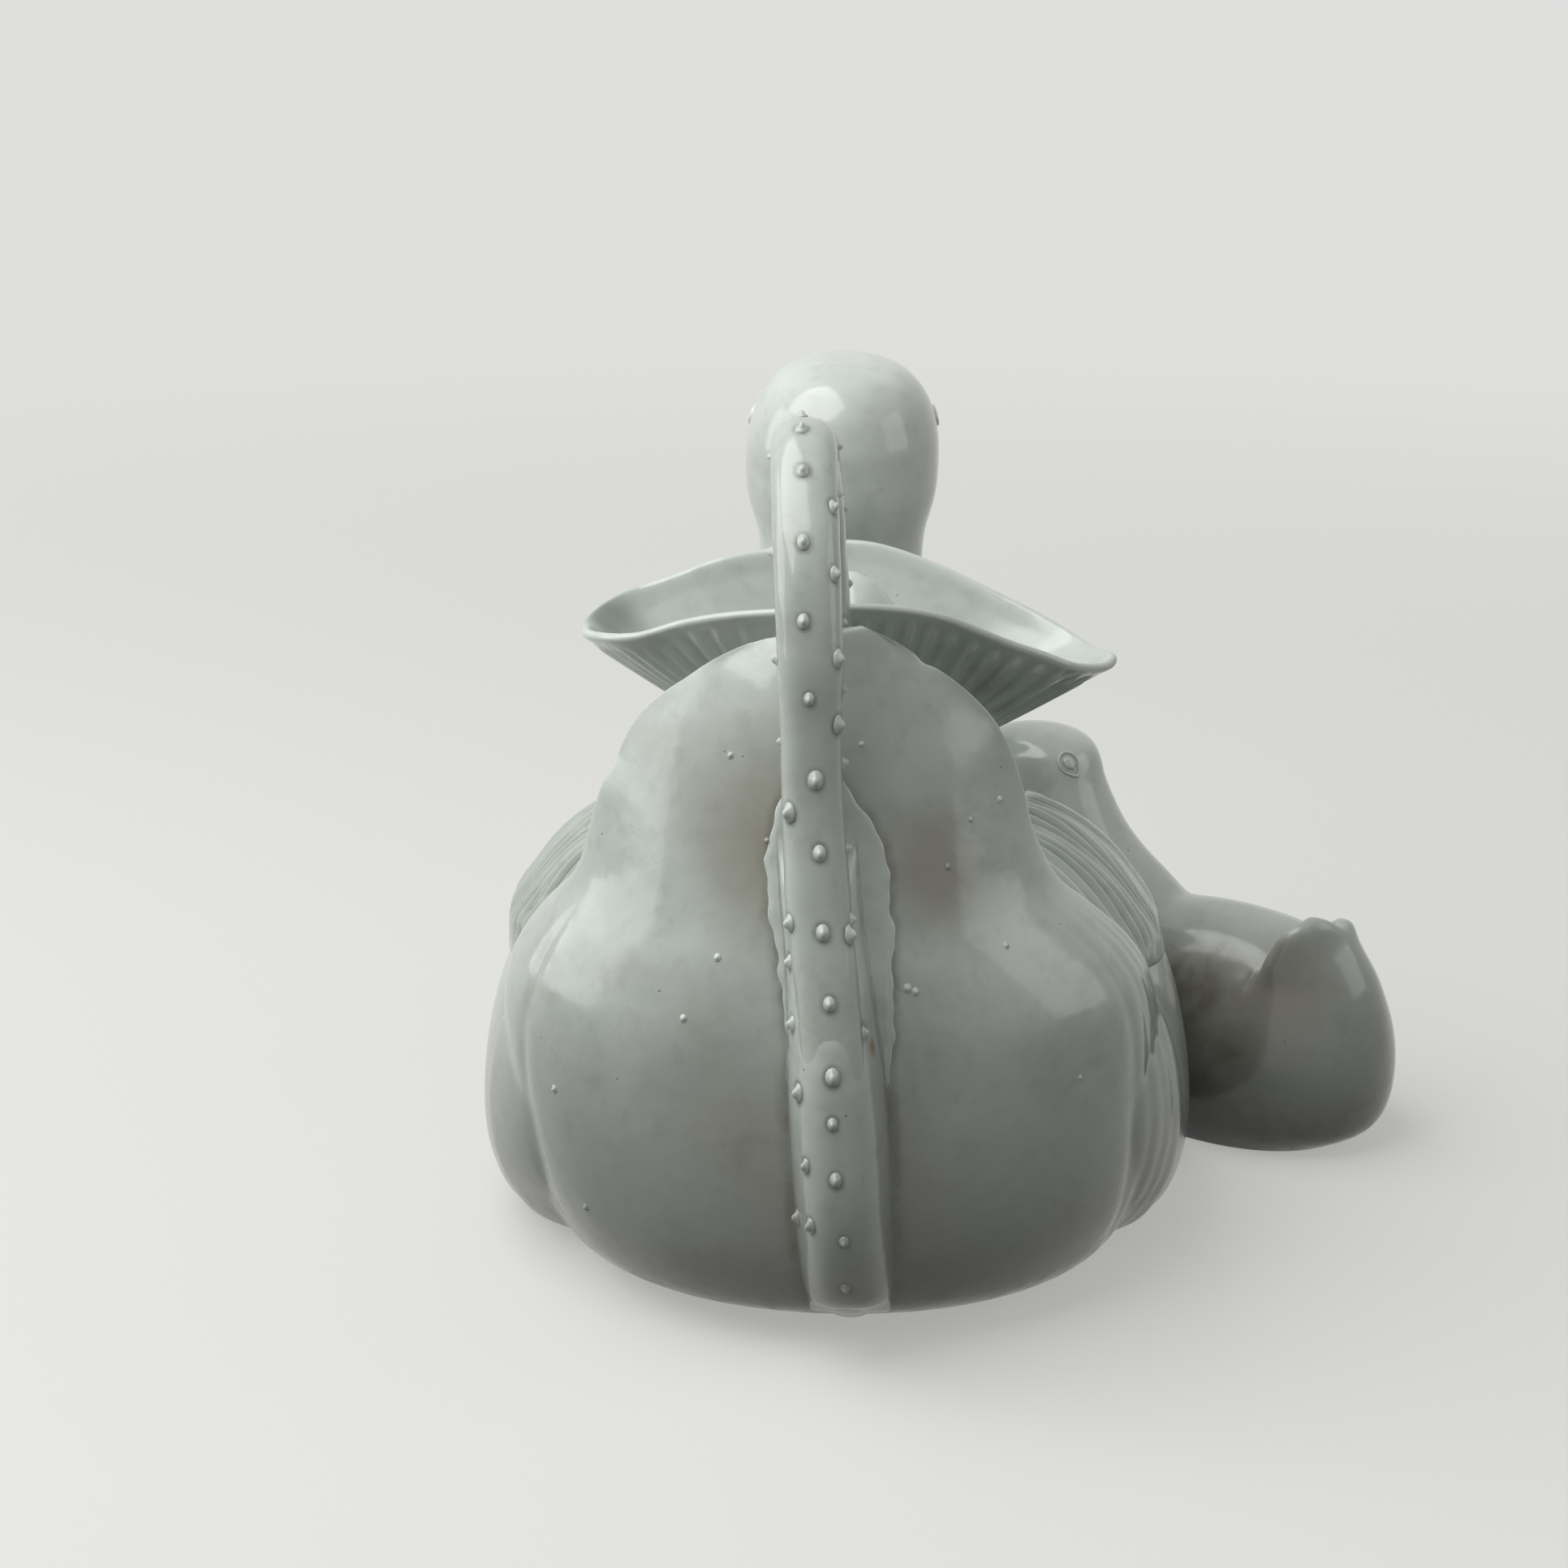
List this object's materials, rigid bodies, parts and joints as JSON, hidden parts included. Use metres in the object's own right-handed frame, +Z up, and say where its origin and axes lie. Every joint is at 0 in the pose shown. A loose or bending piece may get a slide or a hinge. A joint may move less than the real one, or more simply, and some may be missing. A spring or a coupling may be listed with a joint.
{
  "type": "porcelain ewer",
  "caption": "Porcelain ewer shaped as a sitting water bird with a smaller bird at its side, lotus leaf funnel with a bud stopper and a prickly stem handle.",
  "frame": {"origin": "on the floor, on the underside of the base slab, under the upright axis of the large bird's body", "axes": "+Z up, +Y the way the large bird looks and pours, +X its right side, where the smaller bird sits"},
  "size_m": [0.2581, 0.2896, 0.2367],
  "materials": {
    "glaze": "clear glossy glaze, faintly grey-green, over white porcelain",
    "biscuit": "unglazed, fired porcelain biscuit"
  },
  "bodies": {
    "ewer": {"base_slab": "biscuit", "body_shell": "glaze", "tail_fan": "glaze", "throat_collar": "glaze", "leaf_funnel": "glaze", "neck": "glaze", "head": "glaze", "bill_upper": "glaze", "bill_lower": "glaze", "handle_stem": "glaze", "handle_seat": "glaze", "wing_left": "glaze", "wing_right": "glaze", "eye_left": "glaze", "eye_right": "glaze", "duckling_body": "glaze", "duckling_tail_fan": "glaze", "duckling_neck": "glaze", "duckling_head": "glaze", "duckling_bill_upper": "glaze", "duckling_bill_lower": "glaze", "duckling_wing_left": "glaze", "duckling_wing_right": "glaze", "duckling_eye_left": "glaze", "duckling_eye_right": "glaze"},
    "stopper": {"bud_stopper": "glaze"}
  },
  "joints": [
    {"name": "stopper_lift", "type": "slide", "parent": "ewer", "child": "stopper", "axis": [0, 0, 1], "range_m": [0, 0.05]}
  ]
}
